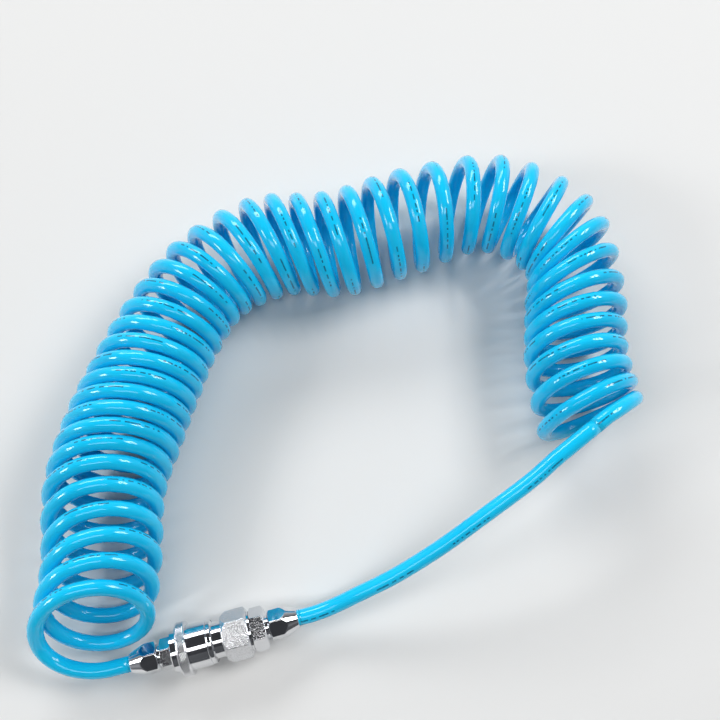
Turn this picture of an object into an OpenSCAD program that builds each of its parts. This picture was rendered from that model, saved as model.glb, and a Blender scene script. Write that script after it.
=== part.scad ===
// Coiled air hose, its two ends coupled together by a quick coupling.
// Millimetres. +X runs along the coupling from its plug to its socket, +Z is up,
// and the origin lies under the middle of the coupling, on the surface it rests on.

/* [Hose] */
// Outer diameter of the hose
hose_od = 8; // [7.5:0.1:8]
// Bore of the hose
hose_bore = 5; // [4.6:0.1:5.2]
// How far the hose end stands out of its clamping nut
hose_show = 1; // [0.5:0.5:3]

/* [Clamping nuts] */
// Size of the nuts across their flats
nut_af = 14; // [13.6:0.1:16]
// Radius of a nut's cone at its tip
nut_tip_r = 4.9; // [4.6:0.1:5.4]
// Length of the plug's nut
plug_nut_l = 14.5; // [13:0.5:18]
// Length of the socket's nut
socket_nut_l = 15.2; // [13:0.1:18]
// Length of a nut's cone, measured at the corners of its hexagon
nut_cone_l = 8.4; // [6:0.2:10]
// Radius of the clamping thread
nut_thread_r = 5.6; // [5.5:0.1:6]
// Gap between a nut and the shoulder it is screwed towards
nut_gap = 1.2; // [0.3:0.1:1.5]
// Lean of the top flat of the plug's nut towards the front, as a sine
plug_nut_lean = 0.352; // [0:0.001:0.5]
// Lean of the top flat of the socket's nut towards the front, as a sine
socket_nut_lean = 0.352; // [0:0.001:0.5]
// Rise of the nipple that the hose end is pushed over
nipple_rise = 1.3; // [0.8:0.1:1.3]
// Bore of the nipples
nipple_bore_r = 1.8; // [1.2:0.1:2]

/* [Plug] */
// Plug's hexagon across its flats
plug_hex_af = 14; // [13.6:0.2:16]
// Length of the plug's hexagon
plug_hex_l = 5.5; // [4:0.1:8]
// Lean of the top flat of the plug's hexagon towards the front, as a sine
plug_hex_lean = 0.28; // [0:0.01:0.5]
// Radius of the plug's shank
shank_r = 6.5; // [6.3:0.1:6.6]
// Depth of the ball groove in the shank
groove_depth = 1.25; // [1:0.05:1.3]
// Radius of the plug's sealing tip
tip_r = 5; // [4.6:0.1:5.1]
// Length of the sealing tip
tip_l = 5; // [4.6:0.1:5]
// Bore of the plug
plug_bore_r = 3; // [2:0.1:3.4]

/* [Socket] */
// Radius of the socket's nose, which the sleeve slides on
nose_r = 8.5; // [8.4:0.05:8.6]
// Length of the visible part of the nose ring
ring_show = 3.6; // [2.8:0.1:4.4]
// Outer radius of the nose ring
ring_r = 10.4; // [10:0.1:10.8]
// Radius of the neck behind the sleeve
neck_r = 9; // [8.8:0.1:9.6]
// Length of the neck
neck_l = 5.4; // [5:0.1:8]
// Socket's hexagon across its flats
body_af = 22; // [21:0.5:24]
// Length of the socket's hexagon
body_hex_l = 13.2; // [10:0.1:16]
// Length of the chamfer at the front of the socket's hexagon
body_chamfer_l = 2.9; // [1.2:0.1:3.4]
// Thickness of the washer between socket and adaptor
washer_t = 1; // [0.8:0.1:1.5]
// Radius of the washer
washer_r = 10; // [9.4:0.1:10.6]
// Adaptor's hexagon across its flats
adaptor_af = 19; // [18:0.5:21]
// Length of the adaptor's hexagon
adaptor_hex_l = 7.6; // [6:0.1:10]
// Radius of the adaptor's spigot, screwed into the socket
spigot_r = 7.2; // [7:0.1:7.6]
// Length of the spigot
spigot_l = 8.6; // [6:0.1:9]
// Free bore of the adaptor
adaptor_bore_r = 3; // [2:0.1:3.5]

/* [Sleeve] */
// Outer radius of the knurled grip ring
knurl_r = 13.5; // [13:0.1:15]
// Length of the knurled grip ring
knurl_l = 5.1; // [4.6:0.1:7]
// Outer radius of the smooth sleeve
sleeve_r = 11.2; // [11.1:0.1:12]
// Length of the smooth sleeve
sleeve_l = 10; // [9.7:0.1:13]
// Length of the rim at the sleeve's rear end
rim_l = 2.2; // [2:0.1:3]
// Radius of the rim
rim_r = 10.9; // [10.9:0.1:11.2]
// Travel of the sleeve when it is pulled back
sleeve_travel = 4; // [3.8:0.1:4.2]
// Length of the sleeve's mouth in front of its ball cone
mouth_l = 1; // [0.8:0.1:1.4]

/* [Lock balls] */
// Radius of a lock ball
ball_r = 2; // [1.9:0.05:2]
// How far a ball moves outwards when the sleeve is back
ball_lift = 1.3; // [1.2:0.05:1.35]
// How far the plug is pushed out while the balls open
release = 3; // [2.8:0.1:3.1]
// Clearance round each ball
ball_gap = 0.06; // [0.04:0.01:0.1]

/* [Valve] */
// Radius of the poppet's pusher
pusher_r = 4; // [3.6:0.1:4.4]
// Radius of the poppet's flange
flange_r = 6.6; // [6.2:0.1:6.8]
// Thickness of the flange
flange_t = 2; // [1.5:0.1:2.5]

/* [Springs] */
// Wire radius of the sleeve spring
sleeve_wire_r = 0.5; // [0.4:0.05:0.5]
// Turns of the sleeve spring
sleeve_turns = 3; // [2:1:3]
// Wire radius of the valve spring
valve_wire_r = 0.45; // [0.3:0.05:0.5]
// Turns of the valve spring
valve_turns = 3; // [2:1:4]

/* [Fits] */
// Running clearance of sliding pieces, on the radius
slide_gap = 0.1; // [0.05:0.01:0.15]
// Clearance of assembled pieces that don't move against each other
fit_gap = 0.05; // [0.02:0.01:0.08]
// Axial clearance between faces that part when the plug moves
face_gap = 0.3; // [0.2:0.05:0.5]

/* [Hidden] */

blue = [0.07, 0.68, 0.93];
chrome = [0.78, 0.79, 0.81];
steel = [0.62, 0.63, 0.66];
rubber = [0.09, 0.09, 0.10];
round_fn = 96;

// Stations along the axis, counted from the tip of the plug's nut.
hose_r = hose_od / 2;
bore_r = hose_bore / 2;
hex_1_s = plug_nut_l + nut_gap;
nose_s = hex_1_s + plug_hex_l + face_gap;
knurl_s = nose_s + ring_show;
sleeve_s = knurl_s + knurl_l;
rim_s = sleeve_s + sleeve_l;
neck_s = rim_s + rim_l;
body_s = neck_s + neck_l;
washer_s = body_s + body_hex_l;
adaptor_s = washer_s + washer_t;
coupling_l = adaptor_s + adaptor_hex_l + nut_gap + socket_nut_l;
// The same stations along X, with the coupling centred on the origin.
plug_tip_x = -coupling_l / 2;
socket_tip_x = coupling_l / 2;
function at(s) = plug_tip_x + s;
hex_1_x = at(hex_1_s);
nose_x = at(nose_s);
knurl_x = at(knurl_s);
rim_x = at(rim_s);
neck_x = at(neck_s);
body_x = at(body_s);
washer_x = at(washer_s);
adaptor_x = at(adaptor_s);
adaptor_end_x = adaptor_x + adaptor_hex_l;
axis_h = knurl_r;

// Clamped hose ends, counted inwards from the tip of a nut.
wall = hose_r - bore_r;
insert_s = 1.5;
flare_s = 4.6;
flare_l = 1.7 * nipple_rise;
nipple_r = bore_r + nipple_rise;
clamp_s = flare_s + flare_l + 1.8;
nut_chamfer = 1.2;

// Lock balls: the cone in the sleeve and the flank of the plug's groove both
// run along a ball's path, so the clearance stays the same over the travel.
ball_x = knurl_x + mouth_l + sleeve_travel;
groove_r = shank_r - groove_depth;
mouth_r = shank_r + slide_gap;
ball_mid_r = groove_r + ball_gap + ball_r;
touch = ball_r + ball_gap;
ramp = ball_lift / sleeve_travel;
ramp_mid_r = ball_mid_r + touch * sqrt(1 + ramp * ramp);
ramp_rear = 0.9;
ramp_front = sleeve_travel;
land_r = ramp_mid_r - ramp * ramp_rear;
shoulder_r = ramp_mid_r + ramp * ramp_front;
shoulder_x = ball_x - ramp_front;
land_l = 1;
chamber_x = ball_x + ramp_rear + land_l;
chamber_r = sleeve_r - 0.8;
collar_r = shoulder_r + 0.35;
sleeve_mouth_r = collar_r + slide_gap;
seat_collar_l = 1.6;
seat_collar_in = 0.2;
seat_collar_x = neck_x - seat_collar_in - seat_collar_l;
flank = ball_lift / release;
flank_mid_r = ball_mid_r - touch * sqrt(1 + flank * flank);
flank_0_x = ball_x + (groove_r - flank_mid_r) / flank;
flank_1_x = ball_x + (shank_r - flank_mid_r) / flank;
step_x = flank_1_x + 0.6;
plug_end_x = step_x + tip_l;
tip_bore_r = tip_r + 2 * slide_gap;

// Valve
valve_seat_x = plug_end_x + 2;
poppet_x = plug_end_x + slide_gap;
valve_seal_t = 1;
cup_depth = 5;
cup_point = 1;
seal_x = valve_seat_x + release + face_gap;
flange_x = seal_x + valve_seal_t;
chamber_2_r = spigot_r + fit_gap;
spigot_x = adaptor_x - spigot_l;
port_r = 1.2;

// Rings and seals
snap_t = 0.8;
snap_depth = 0.6;
snap_rise = 0.5;
snap_gap_w = 2;
snap_lip = 0.8;
ring_front_x = nose_x + snap_lip + snap_t;
ring_recess_r = nose_r + snap_rise + slide_gap;
seal_wire_r = 0.95;
plug_seal_x = plug_end_x - 2.6;
plug_seal_mid_r = tip_r + seal_wire_r + ball_gap;

// The hose lies on the floor. Each row is one third turn of the list below:
// the middle of a curl in plan (x, y), the direction that the coil runs in,
// how far the curl leans forward, both in degrees, and the curl's mean radius.
knot_turns = 3;
knots = [
    [-60, 10, 84, 38, 26.5],
    [-46, 47, 90, 33, 26],
    [-37, 85, 82, 23, 27],
    [-22, 113, 72, 15, 27.5],
    [-6, 138, 66, 11, 26.5],
    [13, 164, 53, 8, 25],
    [39, 188, 34, 3, 24.5],
    [76, 198, 10, -2, 26],
    [113, 190, -1, -3, 26.5],
    [156, 193, -6, 1, 26.5],
    [206, 192, -30, 2, 24.5],
    [236, 162, -60, -2, 24.5],
    [231, 123, -89, -6, 25],
    [221, 90, -95, -7, 24.5],
    [217, 54, -76, 3, 26]];
first_turn = 0.75;
last_turn = knot_turns * (len(knots) - 1);
rings_per_turn = 8;
hose_sides = 6;
tail_sides = 8;
// The tail's points between the coil and the coupling, from the coil down.
tail_points = [[188, 40, 54], [171, 32, 50], [147, 23, 43], [122, 14, 35],
    [97, 7, 26], [75, 3, 19], [63, 1, 15]];
// Both lists are moved by this much, which puts them right for the coupling's length.
route_shift = [-0.9, 0, 0];
tail_mid = [for (p = tail_points) p + route_shift];
lead_rings = 4;
lead_pull = 50;
// Each lowest ring is flattened by a tenth of the hose where it meets the floor.
floor_flat = hose_od / 10;
curl_base = hose_r - floor_flat;

// A point between knots b and c of a smooth curve through a, b, c and d.
function between(a, b, c, d, f) =
    (2 * b + (c - a) * f + (2 * a - 5 * b + 4 * c - d) * f * f
    + (3 * b - a - 3 * c + d) * f * f * f) / 2;
function knot_at(list, i) =
    i < 0 ? 2 * list[0] - list[1]
    : i >= len(list) ? 2 * list[len(list) - 1] - list[len(list) - 2]
    : list[i];
function along(list, s) =
    let(i = min(floor(s), len(list) - 2))
    between(knot_at(list, i - 1), list[i], list[i + 1], knot_at(list, i + 2), s - i);
function hermite(p, p_pull, q, q_pull, f) =
    (2 * f * f * f - 3 * f * f + 1) * p + (f * f * f - 2 * f * f + f) * p_pull
    + (3 * f * f - 2 * f * f * f) * q + (f * f * f - f * f) * q_pull;
function unit(v) = v / norm(v);

// A point of the coil: whole turns are at the top of a curl.
function curl_point(turn) =
    let(k = along(knots, turn / knot_turns), yaw = k[2], lean = k[3], r = k[4],
        heading = [cos(yaw), sin(yaw), 0], side = [-sin(yaw), cos(yaw), 0],
        up = [0, 0, cos(lean)] + sin(lean) * heading,
        middle = [k[0], k[1], curl_base + r * cos(lean)] + route_shift)
    middle + r * cos(360 * turn) * up - r * sin(360 * turn) * side;

plug_exit = [plug_tip_x - hose_show, 0, axis_h];
socket_exit = [socket_tip_x + hose_show, 0, axis_h];
lead_start = plug_exit - [hose_od, 0, 0];
coil_start = curl_point(first_turn);
coil_start_dir = unit(curl_point(first_turn + 0.01) - coil_start);
coil_end = curl_point(last_turn);
tail_start_dir = unit(tail_mid[0] - coil_end);
tail_start = coil_end + hose_od * tail_start_dir;
lead_path = [for (i = [0 : lead_rings - 1])
    hermite(lead_start, [-lead_pull, 0, 0], coil_start, lead_pull * coil_start_dir,
        i / lead_rings)];
function coil_path(rings) = concat([plug_exit], lead_path,
    [for (i = [first_turn * rings : last_turn * rings]) curl_point(i / rings)],
    [tail_start]);
tail_knots = concat([tail_start], tail_mid,
    [socket_exit + [hose_od, 0, 0], socket_exit]);
tail_rings = 3 * (len(tail_knots) - 2);
tail_path = concat(
    [tail_start, tail_start + hose_od * tail_start_dir],
    [for (i = [3 : tail_rings]) along(tail_knots, i / 3)],
    [socket_exit]);

// Direction of a path at point i, and the ring frames carried along it.
function path_dir(path, i) =
    unit(path[min(i + 1, len(path) - 1)] - path[max(i - 1, 0)]);
function ring_sides(path) =
    [for (i = 0, side = unit(cross([0, 0, 1], path_dir(path, 0)));
        i < len(path);
        i = i + 1,
        dir = path_dir(path, min(i, len(path) - 1)),
        side = unit(side - (side * dir) * dir))
        side];
function ring_point(middle, dir, side, r, angle) =
    middle + r * (cos(angle) * side + sin(angle) * cross(dir, side));

// A closed tube of triangles along a path. Nothing of it reaches below floor_z.
module tube(path, r, sides, floor_z = 0) {
    last = len(path) - 1;
    side = ring_sides(path);
    points = [for (i = [0 : last], j = [0 : sides - 1])
        let(p = ring_point(path[i], path_dir(path, i), side[i], r, 360 * j / sides))
        [p[0], p[1], max(p[2], floor_z)]];
    skin = [for (i = [0 : last - 1], j = [0 : sides - 1], half = [0, 1])
        let(a = i * sides + j, b = i * sides + (j + 1) % sides)
        half == 0 ? [a, b, b + sides] : [a, b + sides, a + sides]];
    caps = [for (j = [1 : sides - 2], end = [0, 1])
        end == 0 ? [0, j + 1, j] : [last * sides, last * sides + j, last * sides + j + 1]];
    polyhedron(points, [for (f = concat(skin, caps)) [f[2], f[1], f[0]]]);
}

// Least distance between any two points of the hose more than a half curl apart.
module report_gap() {
    fine = 16;
    path = coil_path(fine);
    near = floor(fine * 0.6);
    gaps = [for (i = [0 : len(path) - near - 1], j = [i + near : len(path) - 1])
        norm(path[i] - path[j])];
    echo(str("least gap of the hose to itself: ", min(gaps) - hose_od, " mm"));
}

// Turned pieces: a profile of [radius, x] points turned about the coupling's axis.
module on_axis(x = 0) {
    translate([x, 0, axis_h]) rotate([0, 90, 0]) children();
}

module turned(profile) {
    on_axis() rotate_extrude($fn = round_fn) polygon(profile);
}

// A hexagon with one corner on top, its corners chamfered at both ends.
module chamfered_hexagon(af, x, l, front_l, rear_l) {
    corner = af / cos(30) / 2;
    cut = corner - af / 2 + 0.2;
    intersection() {
        on_axis(x) cylinder(d = 2 * corner, h = l, $fn = 6);
        turned([[0, x], [corner - cut, x], [corner, x + front_l],
            [corner, x + l - rear_l], [corner - cut, x + l], [0, x + l]]);
    }
}

// Turns such a hexagon, or a piece with one, about the coupling's axis until a
// flat is on top, and leans that flat towards the front.
module flat_up(lean) {
    translate([0, 0, axis_h]) rotate([90 + asin(lean), 0, 0])
        translate([0, 0, -axis_h]) children();
}

// Pieces of a hose clamp are drawn with s counted inwards from the nut's tip.
module from_plug_tip() {
    on_axis(plug_tip_x) children();
}

module from_socket_tip() {
    translate([socket_tip_x, 0, axis_h]) rotate([0, -90, 0]) children();
}

module nut(l, lean) {
    corner = nut_af / cos(30) / 2;
    rotate([0, 0, 90 + asin(lean)]) intersection() {
        cylinder(d = 2 * corner, h = l, $fn = 6);
        rotate_extrude($fn = round_fn) polygon([
            [hose_r + fit_gap, 0], [nut_tip_r, 0], [corner, nut_cone_l],
            [corner, l - nut_chamfer], [corner - 1.6 * nut_chamfer, l],
            [nut_thread_r + fit_gap, l],
            [nut_thread_r + fit_gap, flare_s + flare_l],
            [hose_r + nipple_rise + fit_gap, flare_s + flare_l],
            [hose_r + fit_gap, flare_s]]);
    }
}

module hose_end() {
    rotate_extrude($fn = round_fn) polygon([
        [bore_r, -hose_show], [hose_r, -hose_show], [hose_r, flare_s],
        [hose_r + nipple_rise, flare_s + flare_l], [hose_r + nipple_rise, clamp_s],
        [nipple_r, clamp_s], [nipple_r, flare_s + flare_l], [bore_r, flare_s]]);
}

// Outline of a nipple and its thread, as [radius, s] points up to the shoulder.
function nipple_outline(shoulder_s) = [
    [nipple_bore_r, insert_s], [bore_r - fit_gap, insert_s],
    [bore_r - fit_gap, flare_s], [nipple_r - fit_gap, flare_s + flare_l],
    [nipple_r - fit_gap, clamp_s + fit_gap], [nut_thread_r, clamp_s + fit_gap],
    [nut_thread_r, shoulder_s]];

module plug_body() {
    shoulder_s = plug_nut_l + nut_gap;
    front = nipple_outline(shoulder_s);
    color(chrome) flat_up(plug_hex_lean) {
        turned(concat(
            [for (p = front) [p[0], at(p[1])]],
            [[shank_r, hex_1_x], [shank_r, ball_x - groove_depth - 1.2],
            [groove_r, ball_x - 1.2], [groove_r, flank_0_x], [shank_r, flank_1_x],
            [shank_r, step_x], [tip_r, step_x], [tip_r, plug_end_x - 0.5],
            [tip_r - 0.5, plug_end_x], [plug_bore_r, plug_end_x],
            [plug_bore_r, hex_1_x + 1], [nipple_bore_r, hex_1_x]]));
        difference() {
            chamfered_hexagon(plug_hex_af, hex_1_x, plug_hex_l, 0.6, 0.6);
            on_axis(hex_1_x - 1) cylinder(r = shank_r - 0.5, h = plug_hex_l + 2, $fn = round_fn);
        }
    }
}

module plug_nut() {
    color(chrome) from_plug_tip() nut(plug_nut_l, plug_nut_lean);
}

module hose_end_plug() {
    color(blue) from_plug_tip() hose_end();
}

module hose_end_socket() {
    color(blue) from_socket_tip() hose_end();
}

module socket_nut() {
    color(chrome) from_socket_tip() nut(socket_nut_l, -socket_nut_lean);
}

module socket_body() {
    seal_w = 2 * seal_wire_r + 0.1;
    seal_groove_r = plug_seal_mid_r + seal_wire_r + fit_gap;
    groove_0 = plug_seal_x - seal_w / 2;
    groove_1 = plug_seal_x + seal_w / 2;
    color(chrome) difference() {
        union() {
            turned([
                [mouth_r + 0.5, nose_x], [nose_r - 0.4, nose_x], [nose_r, nose_x + 0.4],
                [nose_r, ring_front_x - snap_t], [nose_r - snap_depth, ring_front_x - snap_t],
                [nose_r - snap_depth, ring_front_x], [nose_r, ring_front_x],
                [nose_r, seat_collar_x], [chamber_r - slide_gap, seat_collar_x],
                [chamber_r - slide_gap, seat_collar_x + seat_collar_l],
                [neck_r, seat_collar_x + seat_collar_l + 0.6],
                [neck_r, body_x], [body_af / 2 - 0.6, body_x + 1], [body_af / 2 - 0.6, washer_x],
                [chamber_2_r, washer_x], [chamber_2_r, valve_seat_x],
                [tip_bore_r, valve_seat_x], [tip_bore_r, groove_1],
                [seal_groove_r, groove_1], [seal_groove_r, groove_0], [tip_bore_r, groove_0],
                [tip_bore_r, step_x + face_gap], [mouth_r, step_x + face_gap],
                [mouth_r, nose_x + 0.5]]);
            difference() {
                flat_up(0) chamfered_hexagon(body_af, body_x, body_hex_l, body_chamfer_l, 1.4);
                on_axis(body_x - 1) cylinder(r = body_af / 2 - 1.6, h = body_hex_l + 2, $fn = round_fn);
            }
        }
        for (angle = ball_angles)
            ball_place(angle, 0) cylinder(r = ball_r + ball_gap, h = nose_r + 2, $fn = 48);
    }
}

module socket_adaptor() {
    shoulder_s = socket_nut_l + nut_gap;
    outline = nipple_outline(shoulder_s);
    color(chrome) flat_up(0) {
        turned(concat(
            [for (p = outline) [p[0], socket_tip_x - p[1]]],
            [[adaptor_af / 2 - 1, adaptor_end_x], [adaptor_af / 2 - 1, adaptor_x],
            [spigot_r, adaptor_x], [spigot_r, spigot_x + 0.5], [spigot_r - 0.5, spigot_x],
            [adaptor_bore_r, spigot_x], [adaptor_bore_r, adaptor_end_x - 2],
            [nipple_bore_r, adaptor_end_x - 1]]));
        difference() {
            chamfered_hexagon(adaptor_af, adaptor_x, adaptor_hex_l, 0.8, 1.3);
            on_axis(adaptor_x - 1)
                cylinder(r = adaptor_af / 2 - 1.5, h = adaptor_hex_l + 2, $fn = round_fn);
        }
    }
}

module nose_ring() {
    inner = nose_r + fit_gap;
    color(chrome) turned([
        [inner, ring_front_x], [ring_recess_r, ring_front_x],
        [ring_recess_r, nose_x + 0.3], [ring_recess_r + 0.3, nose_x],
        [ring_r - 0.4, nose_x], [ring_r, nose_x + 0.4],
        [ring_r, knurl_x - 0.4], [collar_r, knurl_x + 0.4], [collar_r, shoulder_x - 0.1],
        [inner, shoulder_x - 0.1]]);
}

module snap_ring() {
    color(steel) difference() {
        turned([[nose_r - snap_depth + fit_gap, ring_front_x - snap_t + fit_gap],
            [nose_r + snap_rise, ring_front_x - snap_t + fit_gap],
            [nose_r + snap_rise, ring_front_x - fit_gap],
            [nose_r - snap_depth + fit_gap, ring_front_x - fit_gap]]);
        translate([ring_front_x - 2 * snap_t, -snap_gap_w / 2, axis_h])
            cube([3 * snap_t, snap_gap_w, nose_r + 2 * snap_rise]);
    }
}

module sleeve() {
    color(chrome) turned([
        [sleeve_mouth_r, knurl_x], [knurl_r - 0.5, knurl_x], [knurl_r, knurl_x + 0.5],
        [knurl_r, knurl_x + knurl_l - 0.5], [knurl_r - 0.5, knurl_x + knurl_l],
        [sleeve_r, knurl_x + knurl_l], [sleeve_r, rim_x - 0.3], [rim_r - 0.2, rim_x],
        [rim_r, rim_x + 0.3], [rim_r, neck_x - 0.3], [rim_r - 0.3, neck_x],
        [chamber_r, neck_x], [chamber_r, chamber_x], [land_r, chamber_x],
        [land_r, ball_x + ramp_rear], [shoulder_r, shoulder_x],
        [sleeve_mouth_r, shoulder_x]]);
}

// A helical spring about the axis, from x_0 to x_1, both over its wire.
module spring(x_0, x_1, mid_r, wire_r, turns) {
    rings = 16;
    steps = rings * turns;
    run = x_1 - x_0 - 2 * wire_r;
    path = [for (i = [0 : steps])
        let(angle = 360 * i / rings)
        [x_0 + wire_r + run * i / steps, mid_r * sin(angle), axis_h + mid_r * cos(angle)]];
    tube(path, wire_r, 6, -1);
}

module sleeve_spring() {
    color(steel) spring(chamber_x + 0.1, seat_collar_x - 0.1, (nose_r + chamber_r) / 2,
        sleeve_wire_r, sleeve_turns);
}

module valve_spring() {
    color(steel) spring(flange_x + flange_t + 0.1, spigot_x - 0.1, pusher_r + 0.6,
        valve_wire_r, valve_turns);
}

// Ball n sits in its hole at this angle about the axis.
ball_angles = [45, 135, 225, 315];

module ball_place(angle, r) {
    translate([ball_x, 0, axis_h]) rotate([angle, 0, 0]) translate([0, 0, r]) children();
}

module ball(n) {
    color(steel) ball_place(ball_angles[n - 1], ball_mid_r) sphere(r = ball_r, $fn = 48);
}

module valve_poppet() {
    boss_r = pusher_r - valve_wire_r - 0.1;
    color(chrome) difference() {
        turned([[0, poppet_x + cup_depth + cup_point],
            [plug_bore_r, poppet_x + cup_depth], [plug_bore_r, poppet_x],
            [pusher_r, poppet_x], [pusher_r, flange_x], [flange_r, flange_x],
            [flange_r, flange_x + flange_t], [boss_r, flange_x + flange_t],
            [boss_r, flange_x + flange_t + 1.5], [0, flange_x + flange_t + 1.5]]);
        for (angle = [0, 90])
            translate([valve_seat_x + 1.2, 0, axis_h]) rotate([angle, 0, 0])
                cylinder(r = port_r, h = 4 * pusher_r, center = true, $fn = 32);
    }
}

module valve_seal() {
    color(rubber) turned([
        [pusher_r + fit_gap, seal_x], [flange_r - 0.4, seal_x],
        [flange_r - 0.2, flange_x], [pusher_r + fit_gap, flange_x]]);
}

module seal_ring(x, mid_r, wire_r) {
    on_axis(x) rotate_extrude($fn = round_fn) translate([mid_r, 0]) circle(r = wire_r, $fn = 32);
}

module plug_seal() {
    color(rubber) seal_ring(plug_seal_x, plug_seal_mid_r, seal_wire_r);
}

module adaptor_seal() {
    color(chrome) turned([
        [spigot_r + fit_gap, washer_x], [washer_r, washer_x],
        [washer_r, adaptor_x], [spigot_r + fit_gap, adaptor_x]]);
}

module hose_coil() {
    report_gap();
    color(blue) tube(coil_path(rings_per_turn), hose_r, hose_sides);
}

module hose_tail() {
    color(blue) tube(tail_path, hose_r, tail_sides);
}

hose_coil();
hose_tail();
hose_end_plug();
hose_end_socket();
plug_body();
plug_nut();
socket_body();
socket_adaptor();
socket_nut();
nose_ring();
snap_ring();
sleeve();
sleeve_spring();
ball(1);  // ball_1
ball(2);  // ball_2
ball(3);  // ball_3
ball(4);  // ball_4
valve_poppet();
valve_seal();
valve_spring();
plug_seal();
adaptor_seal();
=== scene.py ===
import bpy
import numpy as np
from mathutils import Matrix, Vector


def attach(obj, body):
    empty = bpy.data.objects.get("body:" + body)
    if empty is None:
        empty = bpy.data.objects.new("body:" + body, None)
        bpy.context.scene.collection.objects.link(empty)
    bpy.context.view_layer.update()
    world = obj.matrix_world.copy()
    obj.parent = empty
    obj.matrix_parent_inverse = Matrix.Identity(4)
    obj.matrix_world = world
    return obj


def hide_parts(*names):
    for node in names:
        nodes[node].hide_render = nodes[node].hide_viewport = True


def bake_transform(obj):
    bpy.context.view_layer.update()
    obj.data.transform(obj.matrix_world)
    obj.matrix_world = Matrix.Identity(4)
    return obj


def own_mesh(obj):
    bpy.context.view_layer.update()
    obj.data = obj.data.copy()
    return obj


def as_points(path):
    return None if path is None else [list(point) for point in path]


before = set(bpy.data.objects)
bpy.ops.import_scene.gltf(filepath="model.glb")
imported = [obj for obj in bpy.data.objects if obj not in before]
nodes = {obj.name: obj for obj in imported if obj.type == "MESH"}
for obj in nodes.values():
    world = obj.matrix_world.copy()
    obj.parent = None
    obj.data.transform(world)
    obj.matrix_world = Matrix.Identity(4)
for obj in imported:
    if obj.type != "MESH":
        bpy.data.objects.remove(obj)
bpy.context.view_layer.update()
MM = 0.001

# ---------------------------------------------------------------- camera
CAMERA_PLACE = (0.0707, -0.0185, 0.477)
CAMERA_FORWARD = (0.0776, 0.2957, -0.9521)
CAMERA_RIGHT = (0.967, -0.254, 0.0)
SENSOR_W, LENS, NEAR_CLIP = 36.0, 43.65, 0.01


def make_camera():
    data = bpy.data.cameras.new("camera")
    data.sensor_width = SENSOR_W
    data.lens = LENS
    data.clip_start = NEAR_CLIP
    camera = bpy.data.objects.new("camera", data)
    bpy.context.scene.collection.objects.link(camera)
    forward = Vector(CAMERA_FORWARD).normalized()
    right = Vector(CAMERA_RIGHT).normalized()
    up = right.cross(forward).normalized()
    rows = Matrix((right, up, -forward)).transposed().to_4x4()
    rows.translation = Vector(CAMERA_PLACE)
    camera.matrix_world = rows
    bpy.context.scene.camera = camera


make_camera()

# ---------------------------------------------------------------- stations
# The coupling's stations along X and the height of its axis, in mm, as in part.scad.
AXIS_H = 13.5
NUT_TIP_X, PLUG_HEX_X, PLUG_HEX_END_X = 43.0, -27.3, -21.8
KNURL_X, SLEEVE_X, RIM_X, NECK_X, BODY_X = -17.9, -12.8, -2.8, -0.6, 4.8
WASHER_X, ADAPTOR_X, ADAPTOR_END_X = 18.0, 19.0, 26.6

HOSE_D = 8 * MM
HOSE_R = HOSE_D / 2
# The free hose starts this many mm outside each nut.
EXIT_GAP = 1
PLUG_EXIT = np.array([-NUT_TIP_X - EXIT_GAP, 0, AXIS_H]) * MM
SOCKET_EXIT = np.array([NUT_TIP_X + EXIT_GAP, 0, AXIS_H]) * MM


# ---------------------------------------------------------------- mesh helpers
def mesh_object(name, points, faces, uvs=None):
    mesh = bpy.data.meshes.new(name)
    mesh.from_pydata([tuple(p) for p in points], [], [tuple(f) for f in faces])
    mesh.polygons.foreach_set("use_smooth", [True] * len(mesh.polygons))
    if uvs is not None:
        layer = mesh.uv_layers.new(name="hose")
        layer.data.foreach_set("uv", np.asarray(uvs, float).reshape(-1))
    mesh.update()
    piece = bpy.data.objects.new(name, mesh)
    bpy.context.scene.collection.objects.link(piece)
    return piece


def smooth(f):
    """Eases a share from 0 to 1, level at both ends."""
    return f * f * (3 - 2 * f)


def steps(path):
    """The distance from each point of a path to the next."""
    return np.linalg.norm(np.diff(path, axis=0), axis=1)


def length_of(path):
    return float(steps(path).sum())


def directions(path):
    """The direction of a path at each of its points."""
    ahead = np.vstack([path[1:], path[-1:]]) - np.vstack([path[:1], path[:-1]])
    return ahead / np.linalg.norm(ahead, axis=1)[:, None]


def tube_faces(rings, sides, length, phase):
    """Faces of a tube with flat ends, and the UV of each of their corners."""
    faces, uvs = [], []
    for i in range(rings - 1):
        n = i + 1
        for j in range(sides):
            k = (j + 1) % sides
            faces.append((i * sides + j, i * sides + k, n * sides + k, n * sides + j))
            v0, v1 = j / sides, (j + 1) / sides
            uvs += [(length[i], v0 - phase[i]), (length[i], v1 - phase[i]),
                    (length[n], v1 - phase[n]), (length[n], v0 - phase[n])]
    last = (rings - 1) * sides
    for end in (range(sides)[::-1], range(last, last + sides)):
        faces.append(tuple(end))
        uvs += [(0, 0)] * sides
    return faces, uvs


def tube(name, path, radius, sides, floor=None, outward=None):
    """A closed round tube along a path, with u in metres along it and v in turns
    about it, counted from the outward direction of each ring if that is given."""
    dirs = directions(path)
    side = np.cross([0, 0, 1], dirs[0])
    side /= np.linalg.norm(side)
    points, phase = [], np.zeros(len(path))
    turn = np.arange(sides) * 2 * np.pi / sides
    for i, (middle, d) in enumerate(zip(path, dirs)):
        side = side - side.dot(d) * d
        side /= np.linalg.norm(side)
        other = np.cross(d, side)
        across = np.cos(turn)[:, None] * side + np.sin(turn)[:, None] * other
        points.append(middle + radius * across)
        if outward is not None:
            phase[i] = np.arctan2(outward[i].dot(other), outward[i].dot(side))
    points = np.vstack(points)
    if floor is not None:
        points[:, 2] = np.maximum(points[:, 2], floor)
    phase = np.unwrap(phase) / (2 * np.pi)
    length = np.concatenate([[0], np.cumsum(steps(path))])
    return mesh_object(name, points, *tube_faces(len(path), sides, length, phase))


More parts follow.
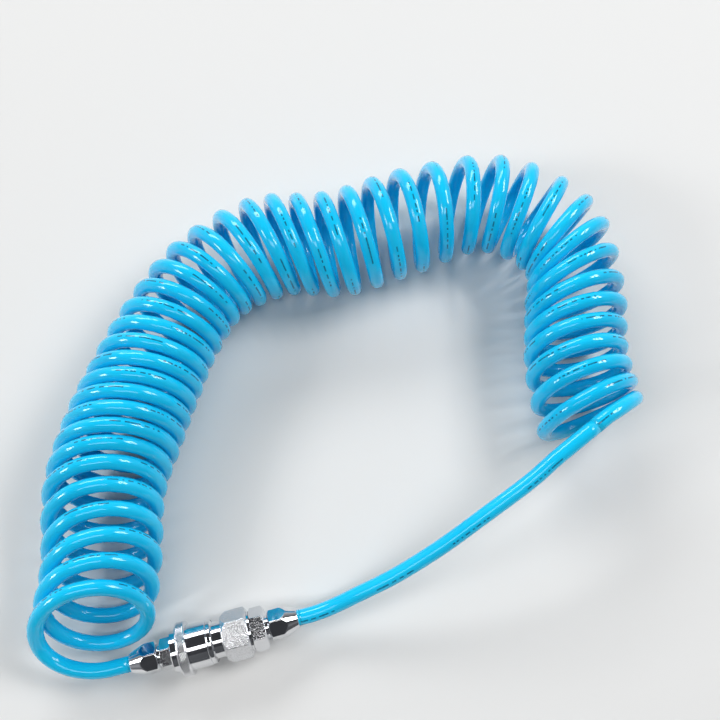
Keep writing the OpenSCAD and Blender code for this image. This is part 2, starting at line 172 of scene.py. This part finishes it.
# ---------------------------------------------------------------- hose route
# Stations of the coil, TURNS_A_KNOT curls apart: the x and y of a curl's middle, its
# heading and lean in degrees, and its mean radius. Lengths are in mm, as in part.scad.
KNOTS = np.array([
    [-60, 10, 84, 38, 26.5], [-46, 47, 90, 33, 26], [-37, 85, 82, 23, 27],
    [-22, 113, 72, 15, 27.5], [-6, 138, 66, 11, 26.5], [13, 164, 53, 8, 25],
    [39, 188, 34, 3, 24.5], [76, 198, 10, -2, 26], [113, 190, -1, -3, 26.5],
    [156, 193, -6, 1, 26.5], [206, 192, -30, 2, 24.5], [236, 162, -60, -2, 24.5],
    [231, 123, -89, -6, 25], [221, 90, -95, -7, 24.5], [217, 54, -76, 3, 26],
], float)
TURNS_A_KNOT = 3
FIRST_TURN, LAST_TURN, RINGS_A_TURN = 0.75, 42.0, 32
# A change of turn small enough to give the coil's direction at its start.
SMALL_TURN = 0.01
# The tail's points between the coil's far end and the socket's straight run.
TAIL_MID = np.array([
    [188, 40, 54], [171, 32, 50], [147, 23, 43], [122, 14, 35], [97, 7, 26],
    [75, 3, 19], [63, 1, 15],
], float)
POINTS_A_SPAN = 8
ROUTE_SHIFT = -0.9
KNOTS[:, 0] += ROUTE_SHIFT
TAIL_MID[:, 0] += ROUTE_SHIFT
# A curl's centre line comes down to CURL_BASE. There it is lifted to the hose's own
# radius, so that the round hose rests on the floor, and the lift fades over LIFT_H.
CURL_BASE, LIFT_H = 3.2, 9
# The straight runs at both exits and the coil's far end, and how far the curve from
# the plug's exit to the coil follows the direction at each of its ends.
STRAIGHT_L, LEAD_PULL, LEAD_POINTS = 8, 50.0, 24
COIL_SIDES, TAIL_SIDES = 20, 24


def along(rows, s):
    """The point at s on a smooth curve through all rows, which lie at whole numbers."""
    i = int(min(np.floor(s), len(rows) - 2))
    before = rows[i - 1] if i > 0 else 2 * rows[0] - rows[1]
    after = rows[i + 2] if i + 2 < len(rows) else 2 * rows[-1] - rows[-2]
    a, b, c, d, f = before, rows[i], rows[i + 1], after, s - i
    return (2 * b + (c - a) * f + (2 * a - 5 * b + 4 * c - d) * f**2
            + (3 * b - a - 3 * c + d) * f**3) / 2


def curl(turn):
    """The middle of a curl, its mean radius, and the direction from there to the hose."""
    x, y, yaw, lean, r = along(KNOTS, turn / TURNS_A_KNOT)
    yaw, lean, angle = np.radians(yaw), np.radians(lean), 2 * np.pi * turn
    heading = np.array([np.cos(yaw), np.sin(yaw), 0])
    side = np.array([-np.sin(yaw), np.cos(yaw), 0])
    up = np.array([0, 0, np.cos(lean)]) + np.sin(lean) * heading
    middle = np.array([x, y, CURL_BASE + r * np.cos(lean)])
    return middle, r, np.cos(angle) * up - np.sin(angle) * side


def curl_point(turn):
    middle, r, outward = curl(turn)
    return middle + r * outward


def hermite(p, p_pull, q, q_pull, f):
    """The point at f on a curve from p to q that follows a pull at each end."""
    return ((2 * f**3 - 3 * f**2 + 1) * p + (f**3 - 2 * f**2 + f) * p_pull
            + (3 * f**2 - 2 * f**3) * q + (f**3 - f**2) * q_pull)


def rest_on_floor(path):
    """Lifts the lowest points so that the round hose just touches the floor."""
    z = path[:, 2]
    fade = np.clip((z - CURL_BASE) / LIFT_H, 0, 1)
    path[:, 2] = z + (HOSE_R / MM - CURL_BASE) * (1 - smooth(fade))
    return path


def hose_routes():
    """The coil's route and outward directions, the tail's route, and the tail's start."""
    plug_exit, socket_exit = PLUG_EXIT / MM, SOCKET_EXIT / MM
    coil_start = curl_point(FIRST_TURN)
    coil_dir = curl_point(FIRST_TURN + SMALL_TURN) - coil_start
    coil_dir /= np.linalg.norm(coil_dir)
    lead = [hermite(plug_exit - [STRAIGHT_L, 0, 0], np.array([-LEAD_PULL, 0, 0]),
                    coil_start, LEAD_PULL * coil_dir, f)
            for f in np.arange(LEAD_POINTS) / LEAD_POINTS]
    first_ring, last_ring = int(FIRST_TURN * RINGS_A_TURN), int(LAST_TURN * RINGS_A_TURN)
    at_turn = np.arange(first_ring, last_ring + 1) / RINGS_A_TURN
    turns = [curl_point(t) for t in at_turn]
    outward = [curl(t)[2] for t in at_turn]
    outward = [outward[0]] * (len(lead) + 2) + outward + [outward[-1]] * 2
    coil_end = turns[-1]
    away = TAIL_MID[0] - coil_end
    away /= np.linalg.norm(away)
    tail_start = coil_end + STRAIGHT_L * away
    coil = [plug_exit, plug_exit - [STRAIGHT_L / 2, 0, 0], *lead, *turns,
            coil_end + STRAIGHT_L / 2 * away, tail_start]
    rows = np.vstack([tail_start, TAIL_MID, socket_exit + [STRAIGHT_L, 0, 0], socket_exit])
    spans = np.arange(POINTS_A_SPAN, POINTS_A_SPAN * (len(rows) - 1) + 1) / POINTS_A_SPAN
    tail = [tail_start, tail_start + STRAIGHT_L / 2 * away]
    tail += [along(rows, s) for s in spans]
    return (rest_on_floor(np.array(coil)) * MM, np.array(outward),
            np.array(tail) * MM, tail_start * MM)


coil_path, coil_outward, tail_path, tail_start = hose_routes()
coil = tube("air_hose_coil", coil_path, HOSE_R, COIL_SIDES, floor=0.0, outward=coil_outward)
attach(coil, "hose")
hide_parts("hose_coil")
length_of(coil_path)
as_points(coil_path)

# The side of the tail that carries its broken line: up and towards the front.
TAIL_OUTWARD = np.array([0, -0.6, 0.8])
tail = tube("air_hose_tail", tail_path, HOSE_R, TAIL_SIDES,
            outward=[TAIL_OUTWARD] * len(tail_path))
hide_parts("hose_tail")
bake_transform(tail)
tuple(tail_start)
length_of(tail_path)
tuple(tail_start)
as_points(tail_path)

# ---------------------------------------------------------------- turned pieces
# How far a hexagon's corner is cut back, and how softly it meets a turned surface.
CORNER_EASE, EDGE_SOFTNESS = 0.12, 0.16
# Edges sharper than this many degrees stay crisp.
CRISP_ANGLE = 38
# The grain starts where a flat lies this deep under the turned outline, and is full
# this much deeper. Its random grid has this many rows along X before it repeats.
GRAIN_START, GRAIN_RISE, GRAIN_ROWS = 0.05, 0.2, 97
# Shares of the large and the small cells, and what parts their seeds.
LARGE_SHARE, SMALL_SHARE, SEED_GAP = 0.6, 0.4, 10
# A station this close to a hexagon's end still counts as on it.
SLACK = 1e-6


def hex_reach(theta, af, turn):
    """Radius of a hexagon, its corners slightly rounded. The flat that was on top
    is turned by this many degrees towards the front."""
    t = (theta - np.radians(turn) + np.pi / 6) % (np.pi / 3) - np.pi / 6
    return np.minimum(af / 2 / np.cos(t), af / np.sqrt(3) - CORNER_EASE)


def pebbles(theta, x, radius, cell, seed):
    """Smooth seeded noise from 0 to 1 round the axis, in cells of this size in mm."""
    around = int(2 * np.pi * radius / cell)
    grid = np.random.default_rng(seed).random((GRAIN_ROWS, around))
    u, v = theta / (2 * np.pi) * around, x / cell
    i, j = np.floor(u).astype(int), int(np.floor(v))
    fu, fv = smooth(u - i), smooth(v - j)
    near, far = (
        grid[row % GRAIN_ROWS, i % around] * (1 - fu)
        + grid[row % GRAIN_ROWS, (i + 1) % around] * fu
        for row in (j, j + 1))
    return near * (1 - fv) + far * fv


def soft_min(a, b, k):
    """The lower of a and b, rounded where they are within k of each other."""
    h = np.clip(0.5 + 0.5 * (b - a) / k, 0, 1)
    return b + (a - b) * h - k * h * (1 - h)


def sample(profile, step):
    """Splits the long spans of a profile of (radius, x) points, in mm."""
    out = []
    for (r0, x0), (r1, x1) in zip(profile, profile[1:]):
        n = max(1, int(np.ceil(np.hypot(r1 - r0, x1 - x0) / step)))
        out += [(r0 + (r1 - r0) * i / n, x0 + (x1 - x0) * i / n) for i in range(n)]
    return out + [profile[-1]]


def revolved(name, outer, inner, segments, shape, step):
    """A closed piece about the coupling's axis. outer runs from its front to its
    rear, inner back again, both (radius, x) in mm. shape(r, x, theta) may cut outer."""
    theta = np.arange(segments) * 2 * np.pi / segments
    rings = [(shape(r, x, theta), x) for r, x in sample(outer, step)]
    rings += [(np.full(segments, float(r)), x) for r, x in inner]
    points = [np.column_stack([np.full(segments, x), -reach * np.sin(theta),
                               AXIS_H + reach * np.cos(theta)]) for reach, x in rings]
    faces = []
    for i in range(len(rings)):
        a, b = i * segments, (i + 1) % len(rings) * segments
        for j in range(segments):
            k = (j + 1) % segments
            faces.append((a + j, b + j, b + k, a + k))
    piece = mesh_object(name, np.vstack(points) * MM, faces)
    piece.data.set_sharp_from_angle(angle=np.radians(CRISP_ANGLE))
    return piece


def hex_shape(af, turn, x0, x1, grain=0.0, cells=None, seed=None):
    """Cuts a turned outline to a hexagon between x0 and x1. A forged grain, of two
    cell sizes in mm, lies on the flats alone, and leaves chamfers and corners smooth."""
    def shape(r, x, theta):
        full = np.full(theta.shape, float(r))
        if not x0 - SLACK <= x <= x1 + SLACK:
            return full
        flat = hex_reach(theta, af, turn)
        reach = soft_min(full, flat, EDGE_SOFTNESS)
        if grain:
            on_flat = np.clip((full - flat - GRAIN_START) / GRAIN_RISE, 0, 1)
            bumps = (LARGE_SHARE * pebbles(theta, x, af / 2, cells[0], seed)
                     + SMALL_SHARE * pebbles(theta, x, af / 2, cells[1], seed + SEED_GAP))
            reach = reach - grain * on_flat * (1 - bumps)
        return reach
    return shape


# ---------------------------------------------------------------- clamping nuts
NUT_AF, NUT_CONE_L, NUT_CHAMFER, CHAMFER_SLOPE = 14, 8.4, 1.2, 1.6
PLUG_NUT_L, SOCKET_NUT_L = 14.5, 15.2
# Leans of top flats towards the front, in degrees, from the sines in part.scad.
NUT_LEAN = np.degrees(np.arcsin(0.352))
PLUG_HEX_LEAN = np.degrees(np.arcsin(0.28))
# A nut's lip and, from its inner end back, its bore: radius and distance from the tip.
NUT_LIP = [(4.6, 0), (4.8, 0.05), (4.95, 0.25)]
NUT_BORE = [(5.65, 6.81), (5.35, 6.81), (4.05, 4.6), (4.05, 0.1)]
# The flats begin this far from the tip and stop this far short of the inner end.
FLATS_START, FLATS_STOP = 0.3, 0.05
NUT_SEGMENTS, NUT_STEP = 360, 0.25


def make_nut(name, node, body, length, sign):
    """A clamping nut, whose length runs from its tip along X by sign."""
    tip = -sign * NUT_TIP_X
    corner = NUT_AF / np.sqrt(3)
    bore_r = NUT_BORE[0][0]
    skin = [*NUT_LIP, (corner, NUT_CONE_L), (corner, length - NUT_CHAMFER),
            (corner - CHAMFER_SLOPE * NUT_CHAMFER, length), (bore_r, length)]
    outer, inner = ([(r, tip + sign * s) for r, s in rows] for rows in (skin, NUT_BORE))
    if sign < 0:
        outer, inner = outer[::-1], inner[::-1]
    x0, x1 = sorted((tip + sign * FLATS_START, tip + sign * (length - FLATS_STOP)))
    flats = hex_shape(NUT_AF, NUT_LEAN, x0, x1)
    piece = revolved(name, outer, inner, NUT_SEGMENTS, flats, NUT_STEP)
    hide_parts(node)
    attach(piece, body)
    return piece


plug_nut = make_nut("plug_nut_turned", "plug_nut", "plug", PLUG_NUT_L, 1)
socket_nut = make_nut("socket_nut_turned", "socket_nut", "socket", SOCKET_NUT_L, -1)

# ---------------------------------------------------------------- sleeve
KNURL_R, KNURL_TEETH, KNURL_DEPTH = 13.5, 60, 0.34
# The knurl stays this far off the grip ring's ends, and is full this much further in.
KNURL_MARGIN, KNURL_RUNOUT = 0.5, 0.4
KNURL_0, KNURL_1 = KNURL_X + KNURL_MARGIN, SLEEVE_X - KNURL_MARGIN
# How high the shallower direction's grooves stay, as a share of the depth.
SHALLOW = 0.4
# Points deeper than this many knurl depths belong to the sleeve's inside.
INSIDE_DEPTH = 1.5
# The grip ring's eased edge: radius and distance from the ring's end.
KNURL_EDGE = [(13.05, 0), (13.25, 0.1), (13.45, 0.35)]
SLEEVE_R, RIM_R = 11.2, 10.9
# The step down to the rim, and the rim's rear edge: radius and distance from each.
RIM_STEP = [(SLEEVE_R, -0.3), (11.05, -0.1), (10.7, 0), (10.75, 0.1), (RIM_R, 0.3)]
RIM_END = [(RIM_R, -0.3), (10.8, -0.08), (10.6, 0)]
# The inside is the CAD sleeve's own: spring chamber, land, ball cone and mouth.
CHAMBER_R, CHAMBER_X = 10.4, -11.0
LAND_R, LAND_X = 9.184, -12.0
CONE_R, MOUTH_R, MOUTH_X = 10.776, 11.226, -16.9
SLEEVE_SEGMENTS, SLEEVE_STEP = 480, 0.16
SLEEVE_OUTER = [
    (MOUTH_R, KNURL_X), *((r, KNURL_X + s) for r, s in KNURL_EDGE),
    (KNURL_R, KNURL_0), (KNURL_R, KNURL_1), *((r, SLEEVE_X - s) for r, s in KNURL_EDGE[::-1]),
    (SLEEVE_R, SLEEVE_X), *((r, RIM_X + s) for r, s in RIM_STEP),
    *((r, NECK_X + s) for r, s in RIM_END)]
SLEEVE_INNER = [(CHAMBER_R, NECK_X), (CHAMBER_R, CHAMBER_X), (LAND_R, CHAMBER_X),
                (LAND_R, LAND_X), (CONE_R, MOUTH_X), (MOUTH_R, MOUTH_X)]


def saw(t):
    return np.abs((t % 1) * 2 - 1)


def knurl(r, x, theta):
    """A diamond knurl on the grip ring, one of its two directions cut deeper."""
    full = np.full(theta.shape, float(r))
    if not KNURL_0 <= x <= KNURL_1:
        return full
    u = theta * KNURL_TEETH / (2 * np.pi)
    v = (x - KNURL_0) / (2 * np.pi * KNURL_R / KNURL_TEETH)
    height = np.minimum(saw(u + v), SHALLOW + (1 - SHALLOW) * saw(u - v))
    edge = np.clip(min(x - KNURL_0, KNURL_1 - x) / KNURL_RUNOUT, 0, 1)
    return full - KNURL_DEPTH * edge * (1 - height)


def mark_grooves(piece):
    """Stores how deep each point lies in the knurl, from 0 on a crest to 1, which sets the
    painted shade in the knurl.
    """
    points = np.empty(len(piece.data.vertices) * 3)
    piece.data.vertices.foreach_get("co", points)
    x, y, z = points.reshape(-1, 3).T / MM
    depth = (KNURL_R - np.hypot(y, z - AXIS_H)) / KNURL_DEPTH
    on_knurl = (x > KNURL_0) & (x < KNURL_1) & (depth < INSIDE_DEPTH)
    layer = piece.data.attributes.new("groove", "FLOAT", "POINT")
    layer.data.foreach_set("value", np.where(on_knurl, np.clip(depth, 0, 1), 0))


sleeve = revolved("sleeve_knurled", SLEEVE_OUTER, SLEEVE_INNER, SLEEVE_SEGMENTS, knurl,
                  SLEEVE_STEP)
mark_grooves(sleeve)
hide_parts("sleeve")
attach(sleeve, "sleeve")

# ---------------------------------------------------------------- hexagons with grain
# How far a skin stands outside its solid: past each end, over the deepest pits, and
# how much smaller its end faces are than its flats.
SKIN_END, PIT_CLEARANCE, FACE_EASE = 0.03, 0.01, 0.2
SKIN_SEGMENTS, SKIN_STEP = 600, 0.14
# Sizes of a grain's large and small cells, in mm.
COARSE, FINE = (0.55, 0.32), (0.45, 0.28)


def hex_skin(name, body, af, turn, span, chamfers, inner_r, grain, cells, seed):
    """A forged skin over one of the coupling's hexagons. Its deepest pits still lie
    just outside the solid's own flats."""
    proud = grain + PIT_CLEARANCE
    x0, x1 = span[0] - SKIN_END, span[1] + SKIN_END
    corner = af / np.sqrt(3) + proud
    face_r = af / 2 - FACE_EASE + proud
    outer = [(inner_r, x0), (face_r, x0), (corner, x0 + chamfers[0]),
             (corner, x1 - chamfers[1]), (face_r, x1), (inner_r, x1)]
    shape = hex_shape(af + 2 * proud, turn, x0, x1, grain, cells, seed)
    piece = revolved(name, outer, [], SKIN_SEGMENTS, shape, SKIN_STEP)
    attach(piece, body)
    return piece


plug_hex = hex_skin(
    "plug_hex_face", "plug", af=14, turn=PLUG_HEX_LEAN, span=(PLUG_HEX_X, PLUG_HEX_END_X),
    chamfers=(0.6, 0.6), inner_r=6.2, grain=0.03, cells=FINE, seed=1)
body_hex = hex_skin(
    "socket_hex_face", "socket", af=22, turn=0, span=(BODY_X, WASHER_X),
    chamfers=(2.9, 1.4), inner_r=9.6, grain=0.14, cells=COARSE, seed=2)
adaptor_hex = hex_skin(
    "adaptor_hex_face", "socket", af=19, turn=0, span=(ADAPTOR_X, ADAPTOR_END_X),
    chamfers=(0.8, 1.3), inner_r=8.2, grain=0.035, cells=FINE, seed=3)

# ---------------------------------------------------------------- springs
SPRING_RINGS, WIRE_SIDES, SPRING_TURNS = 40, 12, 3
# The springs' ends along X, over their wire. The sleeve's full pull closes its spring
# to SLEEVE_SPRING_CLOSED. The valve's spring opens as the valve shuts.
SLEEVE_SPRING_X, SLEEVE_SPRING_END_X, SLEEVE_SPRING_CLOSED = -10.9, -2.5, 4.4
VALVE_SPRING_X, VALVE_SPRING_END_X = 4.412, 10.3


def make_spring(name, node, x0, x1, mid_r, wire_r):
    """The same spring as the CAD node, with round wire. x0 and x1 are over its wire."""
    t = np.arange(SPRING_RINGS * SPRING_TURNS + 1) / (SPRING_RINGS * SPRING_TURNS)
    angle = 2 * np.pi * SPRING_TURNS * t
    path = np.column_stack([x0 + wire_r + (x1 - x0 - 2 * wire_r) * t,
                            mid_r * np.sin(angle), AXIS_H + mid_r * np.cos(angle)])
    piece = tube(name, path * MM, wire_r * MM, WIRE_SIDES)
    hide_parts(node)
    return piece


sleeve_spring = make_spring("sleeve_spring_wire", "sleeve_spring", SLEEVE_SPRING_X,
                            SLEEVE_SPRING_END_X, mid_r=9.45, wire_r=0.5)
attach(sleeve_spring, "socket")
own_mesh(sleeve_spring)
valve_spring = make_spring("valve_spring_wire", "valve_spring", VALVE_SPRING_X,
                           VALVE_SPRING_END_X, mid_r=4.6, wire_r=0.45)
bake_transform(valve_spring)


# ---------------------------------------------------------------- shader helpers
def new_material(name, color, metallic, roughness):
    mat = bpy.data.materials.new(name)
    mat.use_nodes = True
    shader = mat.node_tree.nodes["Principled BSDF"]
    shader.inputs["Base Color"].default_value = (*color, 1)
    shader.inputs["Metallic"].default_value = metallic
    shader.inputs["Roughness"].default_value = roughness
    return mat, mat.node_tree, shader


def noise(tree, scale, detail=3.0, vector=None):
    if vector is None:
        vector = tree.nodes.new("ShaderNodeTexCoord").outputs["Object"]
    node = tree.nodes.new("ShaderNodeTexNoise")
    node.inputs["Scale"].default_value = scale
    node.inputs["Detail"].default_value = detail
    tree.links.new(vector, node.inputs["Vector"])
    return node.outputs["Fac"]


def spread(tree, value, low, high, from_low=0.3, from_high=0.7):
    """Maps a value to low at from_low and high at from_high. The defaults suit noise."""
    node = tree.nodes.new("ShaderNodeMapRange")
    node.inputs["From Min"].default_value = from_low
    node.inputs["From Max"].default_value = from_high
    node.inputs["To Min"].default_value = low
    node.inputs["To Max"].default_value = high
    tree.links.new(value, node.inputs["Value"])
    return node.outputs["Result"]


def feed(tree, value, socket):
    """Links a node's output to a socket, or sets a plain number or colour on it."""
    if isinstance(value, tuple):
        socket.default_value = (*value, 1)
    elif isinstance(value, (int, float)):
        socket.default_value = value
    else:
        tree.links.new(value, socket)


def math_node(tree, kind, a, b=0.0):
    node = tree.nodes.new("ShaderNodeMath")
    node.operation = kind
    feed(tree, a, node.inputs[0])
    feed(tree, b, node.inputs[1])
    return node.outputs[0]


def mix_color(tree, factor, a, b):
    node = tree.nodes.new("ShaderNodeMix")
    node.data_type = "RGBA"
    feed(tree, factor, node.inputs["Factor"])
    feed(tree, a, node.inputs["A"])
    feed(tree, b, node.inputs["B"])
    return node.outputs["Result"]


def bump(tree, shader, height, strength, distance):
    node = tree.nodes.new("ShaderNodeBump")
    node.inputs["Strength"].default_value = strength
    node.inputs["Distance"].default_value = distance
    tree.links.new(height, node.inputs["Height"])
    tree.links.new(node.outputs["Normal"], shader.inputs["Normal"])


# ---------------------------------------------------------------- materials
HOSE_COLOR, HOSE_DEEP, HOSE_BRIGHT = (0.008, 0.55, 0.88), (0.004, 0.51, 0.84), (0.010, 0.59, 0.93)
INK_COLOR = (0.01, 0.03, 0.08)
# Rows of a plain broken line: lengths in metres, height in turns about the hose. A row
# starts at a share of its length, so that the flat ends, at u = 0, carry no ink.
INK_ROW, INK_ROW_START = 0.046, 0.5
INK_HALF_HEIGHT = 0.016
DASH_L, DASH_THRESHOLD = 0.0022, 0.48
CHROME, CHROME_DIM, CHROME_BRIGHT = (0.78, 0.79, 0.81), (0.72, 0.73, 0.75), (0.82, 0.83, 0.85)
# The colour of the painted shade deep in the knurl.
GROOVE_SHADE_COLOR = (0.04, 0.04, 0.045)
# Depths in the knurl between which the painted shade darkens the plating, as shares of the full
# depth.
GROOVE_FROM, GROOVE_TO = 0.65, 0.9
NITRILE = (0.02, 0.02, 0.022)


def broken_line(tree):
    """1 on the dashes of a broken line on the hose's outward side, 0 elsewhere."""
    uv = tree.nodes.new("ShaderNodeUVMap")
    uv.uv_map = "hose"
    split = tree.nodes.new("ShaderNodeSeparateXYZ")
    tree.links.new(uv.outputs["UV"], split.inputs["Vector"])
    u, v = split.outputs["X"], split.outputs["Y"]
    row = math_node(tree, "FRACT", math_node(tree, "DIVIDE", u, INK_ROW))
    in_row = math_node(tree, "GREATER_THAN", row, INK_ROW_START)
    from_opposite = math_node(tree, "FRACT", math_node(tree, "ADD", v, 0.5))
    off = math_node(tree, "ABSOLUTE", math_node(tree, "SUBTRACT", from_opposite, 0.5))
    in_band = math_node(tree, "LESS_THAN", off, INK_HALF_HEIGHT)
    join = tree.nodes.new("ShaderNodeCombineXYZ")
    tree.links.new(math_node(tree, "DIVIDE", u, DASH_L), join.inputs["X"])
    lengthwise = noise(tree, scale=1, detail=0, vector=join.outputs["Vector"])
    dash = math_node(tree, "GREATER_THAN", lengthwise, DASH_THRESHOLD)
    return math_node(tree, "MULTIPLY", math_node(tree, "MULTIPLY", in_row, in_band), dash)


def hose_material():
    """Glossy polyurethane with a worn, plain broken line in rows on its outward side."""
    mat, tree, shader = new_material("polyurethane", HOSE_COLOR, metallic=0.0, roughness=0.16)
    shader.inputs["Specular IOR Level"].default_value = 0.1
    shader.inputs["Subsurface Weight"].default_value = 0.15
    shader.inputs["Subsurface Radius"].default_value = (0.3, 0.9, 1.0)
    shader.inputs["Subsurface Scale"].default_value = 0.003
    shader.inputs["Coat Weight"].default_value = 0.7
    shader.inputs["Coat Roughness"].default_value = 0.05
    worn = spread(tree, noise(tree, scale=900), low=0.5, high=0.9)
    ink = math_node(tree, "MULTIPLY", broken_line(tree), worn)
    tone = spread(tree, noise(tree, scale=22), low=0.0, high=1.0)
    body = mix_color(tree, tone, HOSE_DEEP, HOSE_BRIGHT)
    tree.links.new(mix_color(tree, ink, body, INK_COLOR), shader.inputs["Base Color"])
    rough = spread(tree, noise(tree, scale=160), low=0.13, high=0.22)
    tree.links.new(rough, shader.inputs["Roughness"])
    bump(tree, shader, noise(tree, scale=240), strength=0.12, distance=0.0002)
    return mat


def plated_material(name, low, high, grain=0.0, scale=700, grooves=False):
    """Chrome plating, its roughness from low to high. With the groove flag, painted shade darkens
    it deep in the knurl."""
    mat, tree, shader = new_material(name, CHROME, metallic=1.0, roughness=low)
    tone = spread(tree, noise(tree, scale=60), low=0.0, high=1.0)
    color = mix_color(tree, tone, CHROME_DIM, CHROME_BRIGHT)
    if grooves:
        # Painted shade: the plating's colour goes dark deep in the knurl.
        depth = tree.nodes.new("ShaderNodeAttribute")
        depth.attribute_name = "groove"
        crest = spread(tree, depth.outputs["Fac"], low=1.0, high=0.0,
                       from_low=GROOVE_FROM, from_high=GROOVE_TO)
        color = mix_color(tree, crest, GROOVE_SHADE_COLOR, color)
    tree.links.new(color, shader.inputs["Base Color"])
    rough = spread(tree, noise(tree, scale=220, detail=6), low, high)
    tree.links.new(rough, shader.inputs["Roughness"])
    if grain:
        bump(tree, shader, noise(tree, scale, detail=4), strength=grain, distance=0.0003)
    return mat


def rubber_material():
    mat, tree, shader = new_material("nitrile", NITRILE, metallic=0.0, roughness=0.55)
    rough = spread(tree, noise(tree, scale=500), low=0.45, high=0.65)
    tree.links.new(rough, shader.inputs["Roughness"])
    bump(tree, shader, noise(tree, scale=1500), strength=0.15, distance=0.0001)
    return mat


HOSE = hose_material()
POLISHED = plated_material("plating_polished", low=0.05, high=0.12)
# The knurled sleeve's plating carries painted shade deep in its knurl.
KNURLED = plated_material("plating_knurled", low=0.05, high=0.12, grooves=True)
FORGED_COARSE = plated_material(
    "plating_forged_coarse", low=0.15, high=0.25, grain=0.7, scale=2600)
FORGED_FINE = plated_material(
    "plating_forged_fine", low=0.08, high=0.15, grain=0.2, scale=2200)
STEEL = plated_material("spring_wire", low=0.22, high=0.34, grain=0.1)
RUBBER = rubber_material()

# The pieces of each material: those made here, and those that stay as packed.
NEW_PIECES = (
    (HOSE, (coil, tail)), (POLISHED, (plug_nut, socket_nut)), (KNURLED, (sleeve,)),
    (FORGED_COARSE, (body_hex,)), (FORGED_FINE, (plug_hex, adaptor_hex)),
    (STEEL, (sleeve_spring, valve_spring)),
)
CAD_PIECES = (
    (HOSE, ("hose_end_plug", "hose_end_socket")),
    (POLISHED, ("plug_body", "socket_body", "socket_adaptor", "nose_ring", "valve_poppet",
                "adaptor_seal", "ball_1", "ball_2", "ball_3", "ball_4")),
    (STEEL, ("snap_ring",)),
    (RUBBER, ("valve_seal", "plug_seal")),
)


def dress(piece, mat):
    piece.data.materials.clear()
    piece.data.materials.append(mat)


for mat, pieces in NEW_PIECES:
    for piece in pieces:
        dress(piece, mat)
for mat, names in CAD_PIECES:
    for name in names:
        dress(nodes[name], mat)

# ---------------------------------------------------------------- stage and light
# The floor lies just below the object, so that the two never share a plane.
FLOOR_HALF, FLOOR_Z = 3.0, -0.0003
FLOOR_COLOR = (0.74, 0.74, 0.73)
WALL_COLOR, DIM_COLOR, WORLD_STRENGTH = (0.66, 0.68, 0.72), (0.05, 0.052, 0.058), 0.85
# What the lamps aim at. The top one has its own target, almost straight below it.
MIDDLE, BELOW_TOP = (0.09, 0.09, 0.03), (-0.18, -0.23, 0.0)
# Name, place, target, size and power of each lamp, in metres and watts.
LAMPS = (
    ("window_top", (-0.18, -0.2301, 1.0), BELOW_TOP, (0.8, 0.26), 2.6),
    ("window_back", (-0.15, 1.55, 1.05), MIDDLE, (1.3, 0.45), 15),
    ("pane_right_high", (1.28, 0.28, 1.52), MIDDLE, (0.85, 0.24), 10),
    ("pane_right_low", (1.42, 0.32, 1.20), MIDDLE, (0.85, 0.24), 10),
    ("pane_left", (-1.82, 0.13, 1.17), MIDDLE, (0.6, 0.5), 15),
)


def make_floor():
    corners = [(x * FLOOR_HALF, y * FLOOR_HALF, FLOOR_Z)
               for x, y in ((-1, -1), (1, -1), (1, 1), (-1, 1))]
    piece = mesh_object("floor", corners, [(0, 1, 2, 3)])
    dress(piece, new_material("pale_floor", FLOOR_COLOR, metallic=0.0, roughness=0.75)[0])


def area_light(name, place, target, size, power):
    data = bpy.data.lights.new(name, "AREA")
    data.shape = "RECTANGLE"
    data.size, data.size_y = size
    data.energy = power
    lamp = bpy.data.objects.new(name, data)
    bpy.context.scene.collection.objects.link(lamp)
    aim = (Vector(target) - Vector(place)).to_track_quat("-Z", "Y")
    lamp.matrix_world = Matrix.Translation(Vector(place)) @ aim.to_matrix().to_4x4()


def make_world():
    """A plain studio: pale walls below a dim ceiling, and a dim side towards -Y."""
    world = bpy.data.worlds.new("studio")
    bpy.context.scene.world = world
    world.use_nodes = True
    tree = world.node_tree
    coords = tree.nodes.new("ShaderNodeTexCoord")
    split = tree.nodes.new("ShaderNodeSeparateXYZ")
    tree.links.new(coords.outputs["Generated"], split.inputs["Vector"])
    height = spread(tree, split.outputs["Z"], low=0.0, high=1.0, from_low=0.1, from_high=0.75)
    front = spread(tree, split.outputs["Y"], low=0.9, high=0.0, from_low=-0.75, from_high=-0.2)
    dim = math_node(tree, "MAXIMUM", height, front)
    color = mix_color(tree, dim, WALL_COLOR, DIM_COLOR)
    tree.links.new(color, tree.nodes["Background"].inputs["Color"])
    tree.nodes["Background"].inputs["Strength"].default_value = WORLD_STRENGTH


make_floor()
for lamp_row in LAMPS:
    area_light(*lamp_row)
make_world()
bpy.context.scene.view_settings.view_transform = "Standard"
